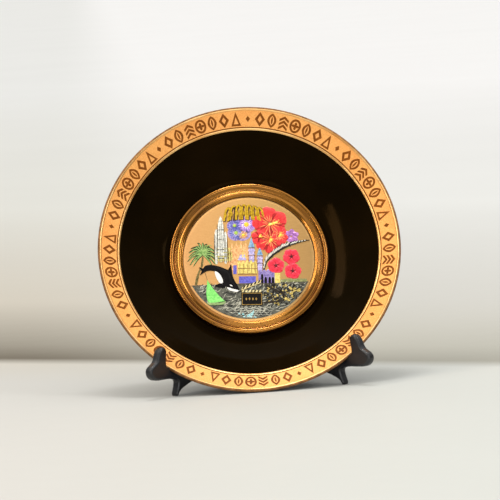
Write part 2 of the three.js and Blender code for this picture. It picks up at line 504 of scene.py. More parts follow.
def vesica(x, y, turn, length, width, steps=8, fullness=0.8):
    """A pointed leaf from (x, y), running at the angle turn."""
    cos, sin = math.cos(turn), math.sin(turn)
    points = []
    for side in (-1, 1):
        for i in range(steps):
            t = i / steps if side < 0 else 1 - i / steps
            bulge = side * width / 2 * math.sin(math.pi * t) ** fullness
            points.append((x + t * length * cos - bulge * sin, y + t * length * sin + bulge * cos))
    return points


def ribbon(points, widths, steps=4):
    """A band of changing width along a smooth line."""
    line = smooth(points, steps)
    left, right = [], []
    for i, (x, y) in enumerate(line):
        ahead, behind = line[min(i + 1, len(line) - 1)], line[max(i - 1, 0)]
        along = Vector((ahead[0] - behind[0], ahead[1] - behind[1])).normalized()
        share = i / (len(line) - 1) * (len(widths) - 1)
        k = min(int(share), len(widths) - 2)
        half = (widths[k] + (widths[k + 1] - widths[k]) * (share - k)) / 2
        left.append((x - along.y * half, y + along.x * half))
        right.append((x + along.y * half, y - along.x * half))
    return left + right[::-1]


def ray(x, y, start, angle, length, width, steps, lean=0.0):
    """A pointed leaf that begins a little way out from (x, y)."""
    x, y = x + start * math.cos(angle), y + start * math.sin(angle)
    return vesica(x, y, angle + lean, length, width, steps)


def rounded(points):
    """A closed smooth outline."""
    return smooth(points, 4, True)


def flats(relief, top, *outlines):
    for outline in outlines:
        relief.prism(outline, top)


def box(left, low, right, high):
    return [(left, low), (right, low), (right, high), (left, high)]


# The plate.
def plate_meshes():
    glaze, gilt, brown, biscuit, pale, amber = range(6)
    back = smooth([(0, -29.2), (20, -29.2), (38, -29.2), (39.5, -30.2), (40.5, -32.3)])
    foot = smooth([(40.5, -32.3), (41.4, -32.7), (43.5, -32.7), (45.6, -32.7), (47, -32.2)])
    outside = smooth(BACK_DISH + [(101.2, -2.3)])
    # The rolled lip takes the lip material, whose dark brown is painted shade.
    rolled = smooth([(101.2, -2.3), (101.5, -1.3), (101.25, -0.5), (100.7, -0.08), (100.1, -0.12)])
    outer_line = smooth([(100.1, -0.12), (99.8, -0.16), (99.3, -0.42), (99.0, -0.76)], 4)
    band = [(99.0, -0.76), (98.7, -0.93), (95, -2.81), (91, -4.85), (88.9, -5.91)]
    groove_in = [(88.9, -5.91), (88.8, -6.1), (88.32, -6.36), (88.2, -6.24)]
    inner_line = smooth([(88.2, -6.24), (87.9, -6.32), (87.3, -6.66), (86.9, -7.0)], 4)
    well = smooth([(86.9, -7.0), (86.4, -7.4), (80, -12.1), (74, -16.3), (68, -19.9), (62, -23), (58, -24.9),
                   (56, -25.55), (54, -DISH_DEPTH), (30, -DISH_DEPTH), (0, -DISH_DEPTH)])
    runs = [(glaze, back), (biscuit, foot), (glaze, outside), (amber, rolled), (pale, outer_line),
            (gilt, band), (brown, groove_in), (pale, inner_line), (glaze, well)]
    return lathe_mesh("plate", runs, 288)


def band_place(x, y, z):
    """x runs round the border, y outwards from its middle line, z out of its sloping face."""
    run, fall = BAND_OUTER[0] - BAND_INNER[0], BAND_OUTER[1] - BAND_INNER[1]
    slope = math.hypot(run, fall)
    middle = ((BAND_OUTER[0] + BAND_INNER[0]) / 2, (BAND_OUTER[1] + BAND_INNER[1]) / 2)
    radius = middle[0] + y * run / slope - z * fall / slope
    height = middle[1] + y * fall / slope + z * run / slope
    angle = x / middle[0]
    return Vector((radius * math.cos(angle), radius * math.sin(angle), height)) * MM


def frieze():
    """Repeats of peaks, lozenges, leaves, wheels, chevrons and beads cut round the border."""
    relief = Relief(band_place)
    girth = math.tau * (BAND_OUTER[0] + BAND_INNER[0]) / 2
    upright = math.pi / 2

    def shifted(points, x):
        return [(px + x, py) for px, py in points]

    def cut(x, outer, *inner):
        relief.prism(shifted(outer, x), CUT_TOP, holes=[shifted(hole, x) for hole in inner])

    def peak(x):
        cut(x, [(-3.5, -4.6), (3.5, -4.6), (0, 5.0)], [(-1.7, -3.3), (1.7, -3.3), (0, 1.5)])

    def lozenge(x):
        cut(x, [(0, -5.0), (3.5, 0), (0, 5.0), (-3.5, 0)], [(0, -2.3), (1.5, 0), (0, 2.3), (-1.5, 0)])

    def leaf(x):
        cut(x, vesica(0, -5.0, upright, 10.0, 6.2, 10), vesica(0, -3.3, upright, 6.6, 3.1, 10))
        cut(x, vesica(0, -2.7, upright, 5.4, 1.3))

    def wheel(x):
        relief.prism(ellipse(x, 0, 3.9, 4.8), CUT_TOP, holes=[ellipse(x, 0, 2.5, 3.3)])
        for i in range(4):
            relief.prism(vesica(x, 0, math.tau * i / 4 + upright, 2.8, 1.8, 5), CUT_TOP)

    def chevrons(x):
        for low in (-3.4, -0.6, 2.2):
            line = [(-3.2, low), (0, low + 2.4), (3.2, low)]
            under = [(3.2, low - 1.7), (0, low + 0.5), (-3.2, low - 1.7)]
            cut(x, line + under)

    def bead(x):
        cut(x, [(0, -2.1), (1.5, 0), (0, 2.1), (-1.5, 0)])

    drawn = (peak, lozenge, leaf, wheel, chevrons, leaf, lozenge, bead)
    for group in range(FRIEZE_REPEATS):
        for i, draw in enumerate(drawn):
            turns = (group + (i + 0.5) / len(drawn)) / FRIEZE_REPEATS
            draw(FRIEZE_TURN * girth / math.tau + girth * turns)
    relief.finish("border_frieze", [brown_incised_look()])


def plate():
    pale = bright_gilt_look("pale_gilt_line", (206, 146, 78), (250, 206, 140), 0.28, 0.42)
    looks = [glaze_look(), satin_gilt_look(), brown_incised_look(), biscuit_look(), pale, shaded_amber_lip_look()]
    piece = add_object("porcelain_plate", plate_meshes(), looks, PLATE, "plate")
    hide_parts("plate_body")
    frieze()


def bezel():
    crest = RING_BOTTOM + RING_HEIGHT
    shelf = MEDAL_TOP + GAP
    outside = smooth([(53.3, RING_BOTTOM), (54.2, RING_BOTTOM + 0.5), (RING_RADIUS, RING_BOTTOM + 1.6),
                      (54.4, RING_BOTTOM + 2.9), (53.9, RING_BOTTOM + 4.1), (53.1, crest - 0.3),
                      (52.1, crest), (51.1, crest - 0.3), (50.2, crest - 1.15), (49.8, crest - 1.5)])
    crease = smooth([(49.8, crest - 1.5), (49.5, crest - 1.55), (49.1, crest - 1.3), (48.2, crest - 1.42),
                     (46.8, shelf + 1.35), (45.4, shelf + 0.75), (RING_WINDOW + 0.1, shelf + 0.4),
                     (RING_WINDOW, shelf)])
    rebate = MEDAL_RADIUS + GAP
    hidden = [(RING_WINDOW, shelf), (rebate, shelf), (rebate, RING_BOTTOM), (53.3, RING_BOTTOM)]
    mesh = lathe_mesh("bezel", [(0, hidden[1:] + outside[1:]), (0, crease)], 240)
    look = bright_gilt_look("amber_gilt", (122, 74, 5), (152, 98, 15), 0.15, 0.2, coat=0.5)
    piece = add_object("gilt_bezel", mesh, [look], PLATE, "plate")
    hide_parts("bezel_ring")


def medallion():
    bottom = MEDAL_TOP - MEDAL_THICKNESS
    face = [(0, bottom), (MEDAL_RADIUS, bottom), (MEDAL_RADIUS, MEDAL_TOP - 0.9), (45.3, MEDAL_TOP - 0.62),
            (44.5, MEDAL_TOP - 0.34), (43.8, MEDAL_TOP - 0.14), (43.0, MEDAL_TOP - 0.03), (42.2, MEDAL_TOP),
            (30, MEDAL_TOP), (0, MEDAL_TOP)]
    mesh = lathe_mesh("medallion", [(0, face)], 192)
    piece = add_object("medallion_plate", mesh, [medallion_look()], PLATE, "plate")
    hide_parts("medallion_disc")


# The medallion's picture, drawn in shares of its radius.
def art_place(x, y, z):
    cos, sin = math.cos(ART_TURN), math.sin(ART_TURN)
    return Vector(((x * cos - y * sin) * ART_RADIUS, (x * sin + y * cos) * ART_RADIUS, MEDAL_TOP + z)) * MM


def art(name, dark, light, draw, **look):
    relief = Relief(art_place)
    draw(relief)
    relief.finish("art_" + name, [foil_look(name, dark, light, **look)])


def sea(relief):
    left, right = math.pi - math.asin(-0.44), math.asin(-0.385)
    points = [(math.cos(a) * 0.97, math.sin(a) * 0.97)
              for a in (left + (math.tau + right - left) * i / 60 for i in range(61))]
    relief.prism(points, 0.05)


def strokes(seed, count, area, length, width, lean, top):
    """Short tapered cuts scattered over an area given by a test."""
    def draw(relief):
        luck = random.Random(seed)
        made = 0
        while made < count:
            x, y = luck.uniform(-1, 1), luck.uniform(-1, 1)
            if not area(x, y):
                continue
            turn = luck.gauss(lean, 0.45)
            run = length * luck.uniform(0.5, 1.4)
            bend = luck.uniform(-0.25, 0.25) * run
            tip = (x + run * math.cos(turn), y + run * math.sin(turn))
            if math.hypot(*tip) > 0.97:
                continue
            middle = ((x + tip[0]) / 2 - bend * math.sin(turn), (y + tip[1]) / 2 + bend * math.cos(turn))
            relief.prism(ribbon([(x, y), middle, tip], [0.2 * width, width, 0.2 * width], 3), top)
            made += 1
    return draw


def in_sea(x, y):
    return y < -0.44 + 0.025 * x and math.hypot(x, y) < 0.95


def in_rocks(x, y):
    return ((x - 0.5) / 0.31) ** 2 + ((y + 0.59) / 0.16) ** 2 < 1


def arcade(relief, grow, drift, top):
    """Seven small round arches with a lozenge in each, set along a shallow curve."""
    for i in range(7):
        share = (i - 3) / 3
        x = -0.065 + 0.275 * share + drift
        low = 0.63 - 0.024 * share * share - drift
        high = low + 0.25 - 0.02 * share * share
        lean = -0.045 * share
        wide = 0.03
        arch = [(x - wide, low), (x - wide + lean * 0.6, high - 0.07), (x + lean, high - 0.014),
                (x + wide + lean * 0.6, high - 0.07), (x + wide, low)]
        relief.prism(ribbon(arch, [0.03 + grow, 0.026 + grow, 0.03 + grow], 5), top)
        middle = (low + high) / 2 - 0.02
        lozenge = [(x - 0.012, middle), (x, middle + 0.05), (x + 0.012, middle), (x, middle - 0.05)]
        relief.prism(lozenge, top - 0.1)


def gold_arcade(relief):
    arcade(relief, 0.0, 0.0, 0.7)


def arcade_shadow(relief):
    arcade(relief, 0.016, 0.007, 0.3)


def rocket_body(relief):
    hull_points = [(-0.424, 0.69), (-0.392, 0.6), (-0.379, 0.45), (-0.379, 0.0), (-0.469, 0.0),
                   (-0.469, 0.45), (-0.456, 0.6)]
    relief.dome(rounded(hull_points), 0.5, centre=(-0.424, 0.3))
    for x, high in ((-0.492, 0.48), (-0.352, 0.44)):
        booster = [(x, high), (x + 0.024, high - 0.1), (x + 0.024, -0.04), (x - 0.024, -0.04),
                   (x - 0.024, high - 0.1)]
        relief.dome(rounded(booster), 0.4, centre=(x, 0.18))


def rocket_tower(relief):
    """The yellow-green lattice round the rocket's foot."""
    luck = random.Random(17)
    for i in range(8):
        x = -0.49 + 0.033 * i
        relief.dome(box(x - 0.011, -0.06 + 0.02 * (i % 2), x + 0.011, 0.08 + luck.uniform(0, 0.14)), 0.34)
    for y in (-0.03, 0.03, 0.09, 0.15):
        relief.prism(box(-0.49, y, -0.26, y + 0.013), 0.4)


def dark_outlines(relief):
    """The black engraved edges of the rocket and its lattice."""
    edges = [(-0.474, 0.0, 0.56), (-0.374, 0.0, 0.56), (-0.52, -0.03, 0.4), (-0.326, -0.03, 0.36)]
    for x, low, high in edges:
        relief.prism(ribbon([(x, low), (x, (low + high) / 2), (x, high)], [0.004, 0.012, 0.003], 2), 0.42)
    seams = [(-0.436, 0.04, 0.52), (-0.404, 0.1, 0.62), (-0.352, 0.02, 0.34), (-0.498, 0.06, 0.36)]
    for x, low, high in seams:
        relief.prism(ribbon([(x, low), (x, high)], [0.006, 0.005], 2), 0.53)
    for y in (0.0, 0.14, 0.3, 0.46):
        relief.prism(box(-0.469, y, -0.379, y + 0.008), 0.52)
    for i in range(7):
        x = -0.474 + 0.033 * i
        relief.prism(box(x - 0.002, -0.06, x + 0.003, 0.12), 0.42)


def bursts(seed, places, rays=18, width=0.17):
    def draw(relief):
        luck = random.Random(seed)
        for x, y, radius in places:
            for i in range(rays):
                turn = math.tau * i / rays + luck.uniform(-0.06, 0.06)
                reach = radius * luck.uniform(0.8, 1.05)
                relief.dome(ray(x, y, 0.22 * radius, turn, reach * 0.8, radius * width, 6), 0.3)
    return draw


def burst_glow(relief):
    for x, y, across, up in ((-0.21, 0.54, 0.12, 0.1), (-0.03, 0.55, 0.15, 0.14), (-0.2, 0.41, 0.12, 0.12),
                             (-0.08, 0.38, 0.12, 0.09)):
        relief.prism(ellipse(x, y, across, up, 0.3), 0.1)


def burst_cores(relief):
    for x, y, radius in ((-0.03, 0.55, 0.038), (-0.08, 0.38, 0.026)):
        relief.dome(ellipse(x, y, radius), 0.5)


def burst_green_cores(relief):
    for x, y, radius in ((-0.21, 0.535, 0.026), (-0.19, 0.415, 0.03)):
        relief.dome(ellipse(x, y, radius), 0.5)


def bloom(relief, x, y, radius, turn, petals=5, top=0.6, plump=1.0, seed=1):
    """Overlapping ruffled petals round a centre."""
    luck = random.Random(seed)
    for i in range(petals):
        angle = turn + math.tau * i / petals
        outline = []
        for k in range(22):
            t = k / 22 * math.tau
            ruffle = 1 + 0.05 * math.sin(5 * t + luck.uniform(0, 1))
            outline.append((0.56 + 0.46 * math.cos(t) * ruffle, 0.42 * plump * math.sin(t) * ruffle))
        cos, sin = math.cos(angle) * radius, math.sin(angle) * radius
        points = [(x + a * cos - b * sin, y + a * sin + b * cos) for a, b in outline]
        relief.dome(points, top + 0.07 * (i % 3))


def hibiscus(relief):
    bloom(relief, 0.33, 0.56, 0.27, 0.5, top=0.55, plump=1.15, seed=3)
    bloom(relief, 0.33, 0.3, 0.235, 1.1, top=0.45, plump=1.1, seed=4)
    bloom(relief, 0.16, 0.34, 0.12, 0.2, top=0.7, plump=1.1, seed=5)
    bloom(relief, 0.47, 0.36, 0.14, 0.9, top=0.66, plump=1.1, seed=6)


def hibiscus_folds(relief):
    """The darker red creases between the petals."""
    luck = random.Random(9)
    for x, y, radius, turn in ((0.33, 0.56, 0.27, 0.5), (0.33, 0.3, 0.235, 1.1), (0.16, 0.34, 0.12, 0.2)):
        for i in range(5):
            angle = turn + math.tau * (i + 0.5) / 5
            for drift in (-0.12, 0.0, 0.14):
                length = radius * luck.uniform(0.5, 0.85)
                relief.prism(ray(x, y, 0.12 * radius, angle, length, 0.016, 5, drift), 0.72)


def hibiscus_veins(relief):
    luck = random.Random(8)
    for x, y, radius in ((0.33, 0.56, 0.19), (0.33, 0.3, 0.17), (0.47, 0.36, 0.1)):
        for i in range(16):
            turn = math.tau * i / 16 + luck.uniform(-0.1, 0.1)
            relief.prism(ray(x, y, 0.03, turn, radius * luck.uniform(0.35, 0.85), 0.012, 5), 0.76)


def hibiscus_hearts(relief):
    hearts = [(0.27, 0.52, 0.35, 0.22), (0.31, 0.24, 1.1, 0.1), (0.44, 0.33, 0.7, 0.1),
              (0.15, 0.34, 0.4, 0.06)]
    for x, y, turn, length in hearts:
        relief.dome(vesica(x, y, turn, length, 0.04, 7, 0.5), 0.86)
        for k in range(6):
            share = 0.55 + 0.09 * k
            px = x + length * share * math.cos(turn) + 0.014 * (-1) ** k
            py = y + length * share * math.sin(turn) + 0.016 * (-1) ** (k + 1)
            relief.dome(ellipse(px, py, 0.011, steps=8), 0.95)


SMALL_BLOOMS = [(0.41, -0.12), (0.645, 0.02), (0.665, -0.21)]


def small_blooms(relief):
    for (x, y), turn, seed in zip(SMALL_BLOOMS, (0.3, 0.9, 0.1), (11, 12, 13)):
        bloom(relief, x, y, 0.128, turn, top=0.55, plump=1.3, seed=seed)


def bloom_centres(relief):
    for x, y in SMALL_BLOOMS:
        relief.dome(ellipse(x, y, 0.022, steps=10), 0.8)
        for i in range(5):
            relief.prism(vesica(x, y, math.tau * i / 5 + 0.4, 0.055, 0.01, 4), 0.73)


def violet_bloom(relief):
    bloom(relief, 0.65, 0.35, 0.12, 0.4, petals=6, top=0.35, plump=0.85, seed=21)


FROND = [(0.225, -0.185), (0.265, -0.05), (0.34, 0.04), (0.44, 0.12), (0.56, 0.19), (0.74, 0.25),
         (0.93, 0.29)]


def frond(seed, side, count, width, top, spread=0.11):
    """Barbs along the plume's curved rib."""
    def draw(relief):
        luck = random.Random(seed)
        line = smooth(FROND, 10)
        for i in range(count):
            k = int(2 + (len(line) - 5) * i / count)
            x, y = line[k]
            along = math.atan2(line[k + 1][1] - y, line[k + 1][0] - x)
            share = k / len(line)
            reach = spread * math.sin(math.pi * min(share * 0.9 + 0.12, 1)) * luck.uniform(0.8, 1.15)
            turn = along + side * luck.uniform(0.3, 0.5)
            relief.prism(vesica(x, y, turn, reach, width, 5), top)
    return draw


def frond_rib(relief):
    relief.prism(ribbon(FROND, [0.02, 0.03, 0.026, 0.016, 0.006], 6), 0.5)


def palm_leaves(width, top, seed):
    def draw(relief):
        luck = random.Random(seed)
        x, y = -0.7, 0.07
        for i in range(17):
            turn = math.radians(-48 + 276 * i / 16) + luck.uniform(-0.05, 0.05)
            reach = 0.225 * luck.uniform(0.85, 1.08)
            droop = 0.07 * (0.4 + abs(math.cos(turn)))
            middle = (x + reach * 0.55 * math.cos(turn), y + reach * 0.6 * math.sin(turn) + 0.02)
            tip = (x + reach * math.cos(turn), y + reach * 0.95 * math.sin(turn) - droop * 0.6)
            blade = ribbon([(x, y), middle, tip], [width * 0.7, width, width * 0.15], 4)
            relief.prism(blade, top + 0.01 * (i % 4))
    return draw


def palm_trunk(relief):
    relief.dome(ribbon([(-0.7, 0.04), (-0.705, -0.08), (-0.745, -0.18), (-0.79, -0.3), (-0.808, -0.42)],
                       [0.022, 0.028, 0.038], 4), 0.3, centre=(-0.745, -0.19))


ORCA = [(-0.671, -0.119), (-0.61, -0.1), (-0.53, -0.107), (-0.442, -0.13), (-0.362, -0.165),
        (-0.315, -0.175), (-0.275, -0.095), (-0.262, -0.185), (-0.25, -0.28), (-0.215, -0.37),
        (-0.176, -0.44), (-0.158, -0.505), (-0.2, -0.515), (-0.283, -0.468), (-0.35, -0.452),
        (-0.424, -0.474), (-0.525, -0.437), (-0.445, -0.4), (-0.405, -0.38), (-0.415, -0.31),
        (-0.465, -0.235), (-0.54, -0.198), (-0.62, -0.195), (-0.672, -0.215), (-0.745, -0.262),
        (-0.722, -0.195), (-0.76, -0.14), (-0.7, -0.155)]


def whale(relief):
    back = [(-0.52, -0.13), (-0.42, -0.16), (-0.32, -0.22), (-0.26, -0.36), (-0.2, -0.47), (-0.28, -0.44),
            (-0.37, -0.38), (-0.4, -0.28), (-0.47, -0.19)]
    relief.prism(rounded(ORCA), 0.42)
    relief.dome(rounded(back), 0.75, 0.3)


def whale_white(relief):
    belly = [(-0.521, -0.205), (-0.455, -0.243), (-0.41, -0.32), (-0.402, -0.392), (-0.45, -0.39),
             (-0.5, -0.31)]
    under_tail = [(-0.34, -0.462), (-0.25, -0.49), (-0.165, -0.515), (-0.2, -0.54), (-0.3, -0.512)]
    flats(relief, 0.5, rounded(belly), rounded(under_tail))
    relief.prism(vesica(-0.3, -0.425, -0.5, 0.055, 0.018, 5), 0.8)


def sail(relief):
    leech = smooth([(-0.635, -0.345), (-0.56, -0.47), (-0.46, -0.6), (-0.375, -0.685)], 5)
    luff = smooth([(-0.47, -0.7), (-0.62, -0.7), (-0.655, -0.56)], 5)
    relief.prism(leech + luff, 0.5)


def sail_rope(relief):
    relief.prism(ribbon([(-0.67, -0.22), (-0.65, -0.29), (-0.635, -0.35)], [0.005, 0.005], 2), 0.3)


def hull(relief):
    outline = [(-0.64, -0.7), (-0.45, -0.71), (-0.36, -0.69), (-0.41, -0.74), (-0.6, -0.745)]
    relief.prism(rounded(outline), 0.45)


# The middle, width, foot, eaves and tip of each round tower.
TOWERS = [(0.042, 0.086, -0.06, 0.17, 0.345), (0.167, 0.078, -0.2, 0.04, 0.2)]


def blue_towers(relief):
    """Round towers with a cornice and a belt, and a low roof beside them."""
    for x, wide, low, high, _ in TOWERS:
        relief.dome(box(x - wide / 2, low, x + wide / 2, high), 0.4)
        relief.prism(box(x - wide * 0.6, high - 0.06, x + wide * 0.6, high - 0.03), 0.5)
        relief.prism(box(x - wide * 0.56, (low + high) / 2, x + wide * 0.56, (low + high) / 2 + 0.02), 0.5)
    relief.prism([(-0.17, -0.03), (-0.04, -0.03), (-0.06, 0.06), (-0.13, 0.06)], 0.4)


def tower_roofs(relief):
    for x, wide, _, high, tip in TOWERS:
        relief.dome([(x - wide * 0.62, high), (x + wide * 0.62, high), (x, tip)], 0.55)


def yellow_halls(relief):
    flats(relief, 0.3, box(-0.17, -0.25, 0.12, -0.08), box(0.386, -0.4, 0.47, -0.24))
    for x in (-0.15, -0.09, -0.03, 0.03, 0.09):
        relief.dome([(x - 0.03, -0.08), (x + 0.03, -0.08), (x, -0.01 + 0.02 * math.cos(x * 30))], 0.4)
    for x, tip in ((-0.09, 0.15), (-0.05, 0.1)):
        relief.dome([(x - 0.022, 0.0), (x + 0.022, 0.0), (x, tip)], 0.48)


def hall_lines(relief):
    for x in (-0.14, -0.08, -0.02, 0.04, 0.1):
        relief.prism(box(x - 0.004, -0.24, x + 0.004, -0.09), 0.36)
    for y in (-0.165, -0.25):
        relief.prism(box(-0.17, y - 0.005, 0.12, y + 0.005), 0.37)
    rings = [(0.042, 0.086, 0.17), (0.042, 0.086, 0.05), (0.167, 0.078, 0.04), (0.167, 0.078, -0.08)]
    for x, wide, y in rings:
        relief.prism(box(x - wide * 0.6, y - 0.004, x + wide * 0.6, y + 0.004), 0.58)
    for x in (-0.001, 0.085, 0.128, 0.206):
        relief.prism(box(x - 0.003, -0.2, x + 0.003, 0.12 if x < 0.1 else 0.02), 0.44)


def peach_columns(relief):
    for i in range(9):
        x = -0.29 + 0.035 * i
        high = 0.24 - 0.25 * abs(x + 0.1) + 0.06 * (i % 2)
        relief.dome(vesica(x, -0.24, math.pi / 2, high + 0.24, 0.036, 8, 0.4), 0.25)


def blue_arcade(relief):
    flats(relief, 0.26, box(-0.155, -0.4, 0.1, -0.29), box(-0.24, -0.25, -0.19, -0.11))


def violet_wing(relief):
    relief.prism(box(0.14, -0.4, 0.385, -0.21), 0.28)
    for x in (0.17, 0.23, 0.29, 0.35):
        relief.dome(ellipse(x, -0.215, 0.028, 0.035, steps=14), 0.36)


def black_details(relief):
    """A doorway, three arched windows, the slate and the stripes on its bar."""
    relief.prism(box(0.18, -0.4, 0.212, -0.26), 0.5)
    for x in (0.25, 0.31, 0.36):
        window = [(x - 0.018, -0.4), (x - 0.018, -0.33), (x, -0.3), (x + 0.018, -0.33), (x + 0.018, -0.4)]
        relief.prism(smooth(window, 3), 0.34)
    relief.prism(box(-0.125, -0.76, 0.195, -0.55), 0.55)
    for i in range(5):
        a = -0.11 + 0.058 * i
        low = -0.5 + 0.4 * (a + 0.11)
        stripe = [(a, low), (a + 0.028, low + 0.011), (a + 0.05, low + 0.056), (a + 0.022, low + 0.045)]
        relief.prism(stripe, 0.56)


def striped_bar(relief):
    """The slate's hinged bar, and a row of pale stripes under it."""
    relief.prism([(-0.125, -0.52), (0.17, -0.4), (0.185, -0.345), (-0.11, -0.465)], 0.5)
    for i in range(6):
        a = -0.12 + 0.052 * i
        relief.prism([(a, -0.548), (a + 0.028, -0.548), (a + 0.045, -0.512), (a + 0.017, -0.512)], 0.58)


def slate_frame(relief):
    """A thin frame round the slate, and four lozenges across it."""
    relief.prism(box(-0.115, -0.75, 0.185, -0.56), 0.6, holes=[box(-0.107, -0.742, 0.177, -0.568)])
    for x in (-0.05, 0.0, 0.05, 0.1):
        relief.prism([(x - 0.014, -0.655), (x, -0.63), (x + 0.014, -0.655), (x, -0.68)], 0.62)


def driftwood(relief):
    branches = [
        ([(0.24, -0.42), (0.36, -0.5), (0.48, -0.56), (0.58, -0.64)], [0.012, 0.04, 0.036, 0.012], 0.4),
        ([(0.16, -0.72), (0.3, -0.71), (0.42, -0.7), (0.52, -0.68)], [0.01, 0.034, 0.026, 0.01], 0.38),
        ([(0.4, -0.47), (0.47, -0.52), (0.52, -0.6)], [0.01, 0.026, 0.01], 0.42),
    ]
    for points, widths, top in branches:
        relief.prism(ribbon(points, widths), top)


def rocks(relief):
    luck = random.Random(41)
    made = 0
    while made < 56:
        x, y = luck.uniform(0.18, 0.82), luck.uniform(-0.76, -0.42)
        if in_rocks(x, y) and math.hypot(x, y) < 0.93:
            size = (luck.uniform(0.015, 0.035), luck.uniform(0.01, 0.022))
            relief.dome(ellipse(x, y, *size, luck.uniform(0, 3), 9), 0.35)
            made += 1


def horizon(relief):
    for y, half in ((-0.412, 0.9), (-0.43, 0.86)):
        relief.prism(ribbon([(-half, y - 0.025), (-0.3, y - 0.008), (0.3, y + 0.008), (half, y + 0.022)],
                            [0.006, 0.01, 0.006], 6), 0.12)


def far_shore(relief):
    relief.prism([(0.47, -0.39), (0.88, -0.38), (0.87, -0.335), (0.62, -0.33), (0.47, -0.345)], 0.14)


def ripples(relief):
    for i in range(5):
        y = -0.8 - 0.035 * i
        half = math.sqrt(0.9 - y * y) * 0.8
        wave = [(-half + 2 * half * k / 14, y + 0.01 * (-1) ** k) for k in range(15)]
        relief.prism(ribbon(wave, [0.004, 0.012, 0.004], 3), 0.16)


def cyan_patch(relief):
    luck = random.Random(51)
    for i in range(16):
        place = (-0.02 + luck.gauss(0, 0.05), -0.93 + luck.gauss(0, 0.018))
        relief.dome(vesica(*place, luck.uniform(0, 3), 0.05, 0.018, 5), 0.3)


def picture():
    art("sea", (58, 60, 56), (112, 112, 98), sea, metallic=0.5, scale=420)
    art("sea_dark", (14, 14, 14), (40, 40, 36),
        strokes(31, 230, in_sea, 0.09, 0.014, 0.25, 0.14), metallic=0.3)
    art("sea_light", (168, 166, 148), (232, 228, 206),
        strokes(32, 250, in_sea, 0.07, 0.0088, 0.6, 0.2), metallic=0.6)
    art("horizon", (50, 44, 30), (110, 96, 68), horizon)
    art("far_shore", (110, 116, 70), (160, 160, 104), far_shore)
    art("ripples", (170, 172, 158), (226, 224, 206), ripples, metallic=0.7)
    art("cyan", (120, 190, 196), (190, 240, 240), cyan_patch)
    art("arcade_shadow", (52, 30, 4), (88, 54, 10), arcade_shadow, metallic=0.2)
    art("gold_arcade", (158, 116, 8), (230, 188, 40), gold_arcade, metallic=0.6)
    art("rocket", (176, 178, 168), (240, 238, 224), rocket_body)
    art("rocket_tower", (176, 160, 70), (232, 218, 128), rocket_tower)
    art("black_lines", (16, 14, 10), (54, 46, 32), dark_outlines)
    art("burst_glow", (128, 112, 178), (188, 168, 214), burst_glow)
    art("burst_blue", (60, 66, 150), (124, 132, 206), bursts(61, [(-0.21, 0.54, 0.12), (-0.19, 0.41, 0.12)]))
    art("burst_lilac", (120, 74, 180), (206, 160, 232), bursts(62, [(-0.03, 0.55, 0.15)]))
    art("burst_pale", (214, 196, 226), (250, 240, 250),
        bursts(64, [(-0.03, 0.55, 0.11), (-0.19, 0.42, 0.08)], 14, 0.1))
    art("burst_gold", (206, 132, 60), (244, 196, 110), bursts(63, [(-0.08, 0.38, 0.08)]))
    art("burst_core", (236, 160, 20), (255, 220, 80), burst_cores)
    art("burst_green_core", (110, 160, 50), (190, 214, 90), burst_green_cores)
    art("peach_columns", (200, 134, 80), (236, 188, 130), peach_columns)
    art("yellow_halls", (206, 176, 76), (246, 230, 136), yellow_halls)
    art("hall_lines", (112, 72, 34), (160, 110, 58), hall_lines)
    art("blue_towers", (130, 130, 196), (222, 206, 240), blue_towers)
    art("tower_roofs", (84, 126, 176), (160, 196, 222), tower_roofs)
    art("blue_arcade", (74, 72, 170), (116, 112, 210), blue_arcade)
    art("violet_wing", (98, 84, 150), (158, 140, 198), violet_wing)
    art("black_details", (6, 5, 5), (20, 16, 14), black_details, metallic=0.05, specular=0.15)
    art("striped_bar", (196, 172, 104), (240, 224, 168), striped_bar)
    art("slate_frame", (150, 112, 48), (206, 168, 92), slate_frame, metallic=0.8)
    art("hibiscus", (204, 26, 30), (244, 62, 60), hibiscus, metallic=0.2)
    art("hibiscus_folds", (150, 12, 16), (196, 26, 30), hibiscus_folds, metallic=0.2)
    art("hibiscus_veins", (246, 120, 70), (255, 178, 110), hibiscus_veins)
    art("hibiscus_hearts", (240, 176, 40), (255, 232, 110), hibiscus_hearts)
    art("small_blooms", (206, 18, 44), (242, 48, 74), small_blooms, metallic=0.2)
    art("bloom_centres", (60, 6, 10), (110, 16, 22), bloom_centres)
    art("violet_bloom", (124, 66, 140), (190, 130, 196), violet_bloom)
    art("frond_dark", (10, 9, 8), (40, 36, 32), frond(71, 1, 60, 0.014, 0.5, 0.13))
    art("frond_light", (190, 186, 170), (246, 242, 228), frond(72, 1, 24, 0.016, 0.56, 0.12), metallic=0.4)
    art("frond_under", (16, 16, 14), (60, 56, 48), frond(73, -1, 50, 0.012, 0.5, 0.08))
    art("frond_rib", (14, 13, 12), (40, 36, 32), frond_rib)
    art("palm_shade", (24, 44, 18), (54, 80, 34), palm_leaves(0.036, 0.16, 81))
    art("palm_leaves", (92, 136, 62), (168, 200, 118), palm_leaves(0.018, 0.26, 82))
    art("palm_trunk", (70, 62, 24), (128, 112, 56), palm_trunk)
    art("whale", (6, 5, 6), (18, 15, 16), whale, metallic=0.05, specular=0.12)
    art("whale_white", (226, 224, 216), (252, 250, 246), whale_white)
    art("sail", (104, 206, 90), (156, 240, 130), sail)
    art("sail_rope", (40, 34, 24), (80, 70, 50), sail_rope)
    art("hull", (120, 150, 90), (170, 190, 130), hull)
    art("rocks", (138, 116, 48), (214, 190, 104), rocks)
    art("rock_cuts", (12, 10, 8), (44, 38, 24), strokes(42, 90, in_rocks, 0.06, 0.018, 0.9, 0.42))
    art("driftwood", (16, 12, 6), (50, 40, 22), driftwood)


